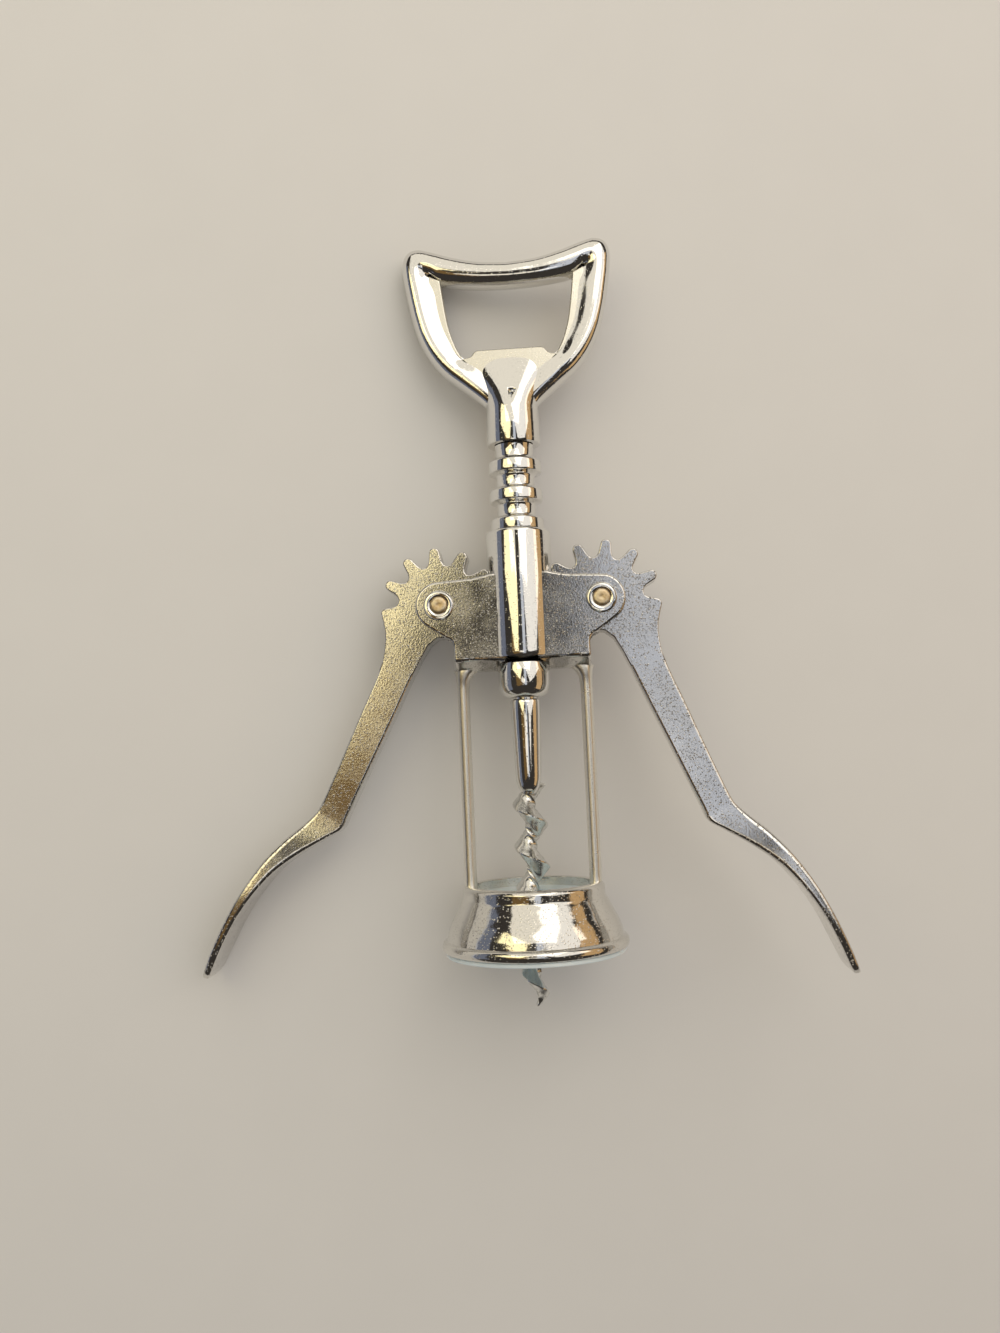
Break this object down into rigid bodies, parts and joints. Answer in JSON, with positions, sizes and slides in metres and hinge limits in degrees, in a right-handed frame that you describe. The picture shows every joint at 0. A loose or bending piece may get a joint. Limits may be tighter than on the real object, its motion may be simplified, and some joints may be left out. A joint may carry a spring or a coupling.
{
  "type": "wing corkscrew",
  "caption": "Wing corkscrew lying on its back: toothed side levers lift a ringed rack and worm through a bell, under a handle that is also a cap lifter.",
  "frame": {"origin": "centre of the flat rim at the bell's mouth, on the worm's axis", "axes": "+Y along the worm towards the handle, +X to the right lever, +Z out of the front face, which is up as the corkscrew lies on its back"},
  "size_m": [0.1435, 0.1723, 0.0412],
  "materials": {
    "chrome_casting": "bright chrome plate over a die-cast zinc body, pitted a little on the flat faces",
    "worm_steel": "plated steel with sharp worked edges",
    "pin_brass": "peened pin ends, pale brass",
    "milky_plastic": "milky, slightly translucent moulded plastic"
  },
  "bodies": {
    "frame": {"frame": "chrome_casting", "bell_liner": "milky_plastic", "left_pivot_pin": "pin_brass", "right_pivot_pin": "pin_brass"},
    "rack": {"rack_sleeve": "chrome_casting"},
    "handle": {"handle": "chrome_casting", "handle_pin": "worm_steel", "worm": "worm_steel"},
    "left_lever": {"left_lever": "chrome_casting"},
    "right_lever": {"right_lever": "chrome_casting"}
  },
  "joints": [
    {"name": "rack_slide", "type": "slide", "parent": "frame", "child": "rack", "axis": [0, 1, 0], "range_m": [-0.028, 0.0055]},
    {"name": "handle_turn", "type": "hinge", "parent": "rack", "child": "handle", "pos_m": [0, 0.1, 0], "axis": [0, 1, 0], "continuous": true},
    {"name": "left_lever_swing", "type": "hinge", "parent": "frame", "child": "left_lever", "pos_m": [-0.018, 0.077, 0], "axis": [0, 0, 1], "range_deg": [-127.37, 25.1]},
    {"name": "right_lever_swing", "type": "hinge", "parent": "frame", "child": "right_lever", "pos_m": [0.018, 0.077, 0], "axis": [0, 0, 1], "range_deg": [-25.1, 127.37]}
  ],
  "couplings": [
    {"joint": "left_lever_swing", "follows": "rack_slide", "rad_per_m": 79.333},
    {"joint": "right_lever_swing", "follows": "rack_slide", "rad_per_m": -79.333}
  ]
}
